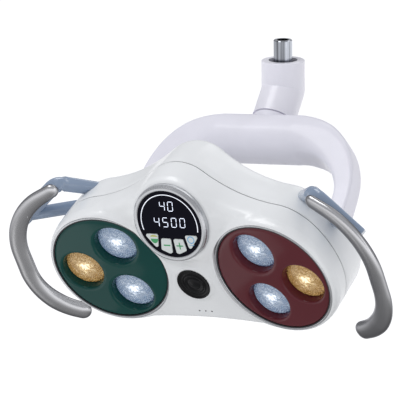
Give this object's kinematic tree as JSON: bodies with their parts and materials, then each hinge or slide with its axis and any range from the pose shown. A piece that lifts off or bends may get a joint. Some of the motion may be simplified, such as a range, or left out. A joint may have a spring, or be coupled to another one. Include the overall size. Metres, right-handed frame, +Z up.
{
  "type": "dental operating light",
  "caption": "Dental operating light: a tilting lamp head with panels of round lenses, a display, a hand sensor and bent grips, hung in a U-shaped yoke from a swivelling elbow on a post.",
  "frame": {"origin": "on the axis of the mounting post, level with the elbow's top face", "axes": "+Z up along the post, +X to the right of somebody who faces the lamps, -Y towards them"},
  "size_m": [0.4752, 0.3149, 0.3107],
  "materials": {
    "chrome_post": "bright turned",
    "elbow_paint": "gloss",
    "bearing_plastic": "matt",
    "bearing_bronze": "turned",
    "steel_hardware": "machined",
    "yoke_gloss": "gloss",
    "head_white": "semi-gloss, slightly textured at the back",
    "dark_rubber": "matt",
    "grip_metal": "satin",
    "bracket_gloss": "gloss",
    "panel_green": "gloss",
    "panel_red": "gloss",
    "trim_silver": "brushed",
    "lens_clear": "moulded with fine ribs",
    "lens_amber": "moulded with fine ribs",
    "reflector_mirror": "polished",
    "emitter": "matt",
    "board_green": "matt",
    "sink_aluminium": "milled",
    "display_black": "high gloss",
    "key_grey": "satin",
    "sensor_black": "gloss"
  },
  "bodies": {
    "post": {"mounting_post": "chrome_post"},
    "knuckle": {"knuckle_housing": "elbow_paint", "post_washer": "bearing_plastic", "post_bushing": "bearing_bronze", "post_lock_screw": "steel_hardware", "swivel_bushing": "bearing_bronze"},
    "yoke": {"yoke": "yoke_gloss", "swivel_spigot": "steel_hardware", "swivel_retaining_ring": "steel_hardware", "swivel_friction_washer": "bearing_plastic", "tilt_pins": "steel_hardware", "tilt_pin_nuts": "steel_hardware", "tilt_pin_caps": "yoke_gloss", "tilt_friction_washers": "bearing_plastic"},
    "head": {"tilt_bushes": "bearing_bronze", "front_housing": "head_white", "rear_housing": "head_white", "seam_gasket": "dark_rubber", "housing_screws": "steel_hardware", "lamp_panel_left": "panel_green", "panel_gasket_left": "dark_rubber", "panel_trim_left": "trim_silver", "lens_left_upper": "lens_clear", "reflector_left_upper": "reflector_mirror", "lens_left_lower": "lens_clear", "reflector_left_lower": "reflector_mirror", "lens_left_outer": "lens_amber", "reflector_left_outer": "reflector_mirror", "led_board_left": "board_green", "led_emitters_left": "emitter", "heat_sink_left": "sink_aluminium", "handle_left": "grip_metal", "handle_bracket_left": "bracket_gloss", "lamp_panel_right": "panel_red", "panel_gasket_right": "dark_rubber", "panel_trim_right": "trim_silver", "lens_right_upper": "lens_clear", "reflector_right_upper": "reflector_mirror", "lens_right_lower": "lens_clear", "reflector_right_lower": "reflector_mirror", "lens_right_outer": "lens_amber", "reflector_right_outer": "reflector_mirror", "led_board_right": "board_green", "led_emitters_right": "emitter", "heat_sink_right": "sink_aluminium", "handle_right": "grip_metal", "handle_bracket_right": "bracket_gloss", "handle_screws": "steel_hardware", "display_bezel": "trim_silver", "display_window": "display_black", "display_board": "board_green", "sensor_cover": "sensor_black", "sensor_lens": "sensor_black", "sensor_board": "board_green", "driver_board": "board_green"},
    "light_key_cap": {"light_key": "key_grey"},
    "minus_key_cap": {"minus_key": "key_grey"},
    "plus_key_cap": {"plus_key": "key_grey"},
    "sensor_key_cap": {"sensor_key": "key_grey"}
  },
  "joints": [
    {"name": "elbow_swivel", "type": "hinge", "parent": "post", "child": "knuckle", "pos_m": [0, 0, -0.01], "axis": [0, 0, 1], "range_deg": [-165, 165]},
    {"name": "yoke_swivel", "type": "hinge", "parent": "knuckle", "child": "yoke", "pos_m": [0, -0.05175, -0.08959], "axis": [0, -0.6947, -0.7193], "range_deg": [-81.5, 68.5]},
    {"name": "head_tilt", "type": "hinge", "parent": "yoke", "child": "head", "pos_m": [-0.00113, -0.1367, -0.16326], "axis": [0.9936, -0.0814, 0.0786], "range_deg": [-28, 72]},
    {"name": "light_key_press", "type": "slide", "parent": "head", "child": "light_key_cap", "axis": [0.064, 0.977, 0.2036], "range_m": [0, 0.0007], "stiffness_N_per_m": 900, "springref_m": -0.0004},
    {"name": "minus_key_press", "type": "slide", "parent": "head", "child": "minus_key_cap", "axis": [0.064, 0.977, 0.2036], "range_m": [0, 0.0007], "stiffness_N_per_m": 900, "springref_m": -0.0004},
    {"name": "plus_key_press", "type": "slide", "parent": "head", "child": "plus_key_cap", "axis": [0.064, 0.977, 0.2036], "range_m": [0, 0.0007], "stiffness_N_per_m": 900, "springref_m": -0.0004},
    {"name": "sensor_key_press", "type": "slide", "parent": "head", "child": "sensor_key_cap", "axis": [0.064, 0.977, 0.2036], "range_m": [0, 0.0007], "stiffness_N_per_m": 900, "springref_m": -0.0004}
  ]
}
